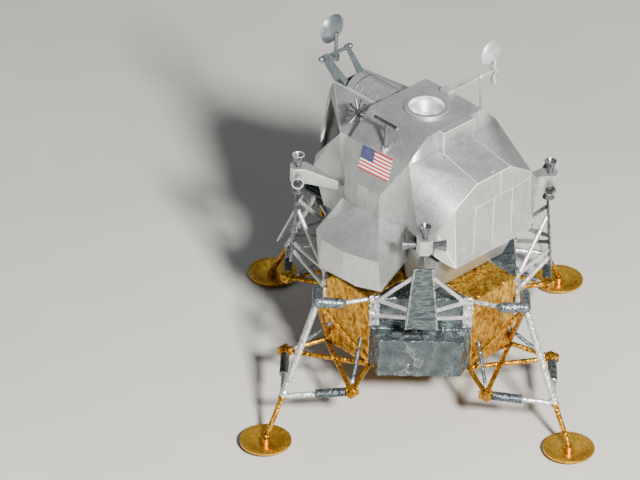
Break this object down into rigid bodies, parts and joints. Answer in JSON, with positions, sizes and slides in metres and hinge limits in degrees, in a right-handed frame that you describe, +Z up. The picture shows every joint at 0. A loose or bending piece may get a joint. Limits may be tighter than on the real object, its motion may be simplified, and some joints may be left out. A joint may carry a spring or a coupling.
{
  "type": "scale model of a two-stage crewed lunar lander",
  "caption": "Plastic display model of a two-stage lunar lander: a faceted silver ascent stage on a gold and grey four-legged descent stage, with dish antennas.",
  "frame": {"origin": "on the ground under the middle of the four footpads", "axes": "+Z up, -Y is the front with hatch and ladder, +X is the craft's left side"},
  "size_m": [0.1986, 0.1986, 0.1466],
  "materials": {
    "silver": "satin brushed silver paint",
    "gold_foil": "crinkled gold paint",
    "gold_paint": "satin gold paint",
    "grey_foil": "wrinkled slate grey paint",
    "strut_grey": "brushed grey paint",
    "white_silver": "pale silver paint",
    "steel_dark": "dark steel paint",
    "window_black": "gloss black"
  },
  "bodies": {
    "descent_stage": {"bay_front_left": "grey_foil", "bay_front_right": "grey_foil", "bay_rear_left": "grey_foil", "bay_rear_right": "grey_foil", "deflector_front_left": "grey_foil", "deflector_front_right": "grey_foil", "deflector_mount_front_left": "white_silver", "deflector_mount_front_right": "white_silver", "deflector_mount_rear_left": "white_silver", "deflector_mount_rear_right": "white_silver", "deflector_rear_left": "grey_foil", "deflector_rear_right": "grey_foil", "descent_core": "gold_foil", "descent_engine_bell": "gold_paint", "footpad_aft": "gold_paint", "footpad_front": "gold_paint", "footpad_left": "gold_paint", "footpad_right": "gold_paint", "ladder": "white_silver", "outrigger_aft": "strut_grey", "outrigger_front": "strut_grey", "outrigger_left": "strut_grey", "outrigger_right": "strut_grey", "porch": "grey_foil", "primary_cylinder_aft": "white_silver", "primary_cylinder_front": "white_silver", "primary_cylinder_left": "white_silver", "primary_cylinder_right": "white_silver", "primary_piston_aft": "gold_paint", "primary_piston_front": "gold_paint", "primary_piston_left": "gold_paint", "primary_piston_right": "gold_paint", "secondary_struts_aft": "strut_grey", "secondary_struts_front": "strut_grey", "secondary_struts_left": "strut_grey", "secondary_struts_right": "strut_grey", "truss_aft": "gold_paint", "truss_front": "gold_paint", "truss_left": "gold_paint", "truss_right": "gold_paint"},
    "ascent_stage": {"aft_equipment_bay": "silver", "ascent_engine_nozzle": "steel_dark", "crew_cabin": "silver", "docking_ring": "silver", "front_hatch": "silver", "front_windows": "window_black", "fuel_tank_cover": "silver", "midsection": "silver", "oxidizer_tank_cover": "silver", "radar_fork": "strut_grey", "sband_boom": "white_silver", "spoke_antenna": "steel_dark", "t_antenna": "steel_dark", "thruster_cluster_front_left": "silver", "thruster_cluster_front_right": "silver", "thruster_cluster_rear_left": "silver", "thruster_cluster_rear_right": "silver"},
    "radar": {"radar_dish": "strut_grey"},
    "sband": {"sband_dish": "white_silver"}
  },
  "joints": [
    {"name": "ascent_lift", "type": "slide", "parent": "descent_stage", "child": "ascent_stage", "axis": [0, 0, 1], "range_m": [0, 0.06]},
    {"name": "radar_tilt", "type": "hinge", "parent": "ascent_stage", "child": "radar", "pos_m": [0, -0.0532, 0.1296], "axis": [1, 0, 0], "range_deg": [-50, 80]},
    {"name": "sband_tilt", "type": "hinge", "parent": "ascent_stage", "child": "sband", "pos_m": [-0.0426, -0.0025, 0.1265], "axis": [1, 0, 0], "range_deg": [-60, 60]}
  ]
}
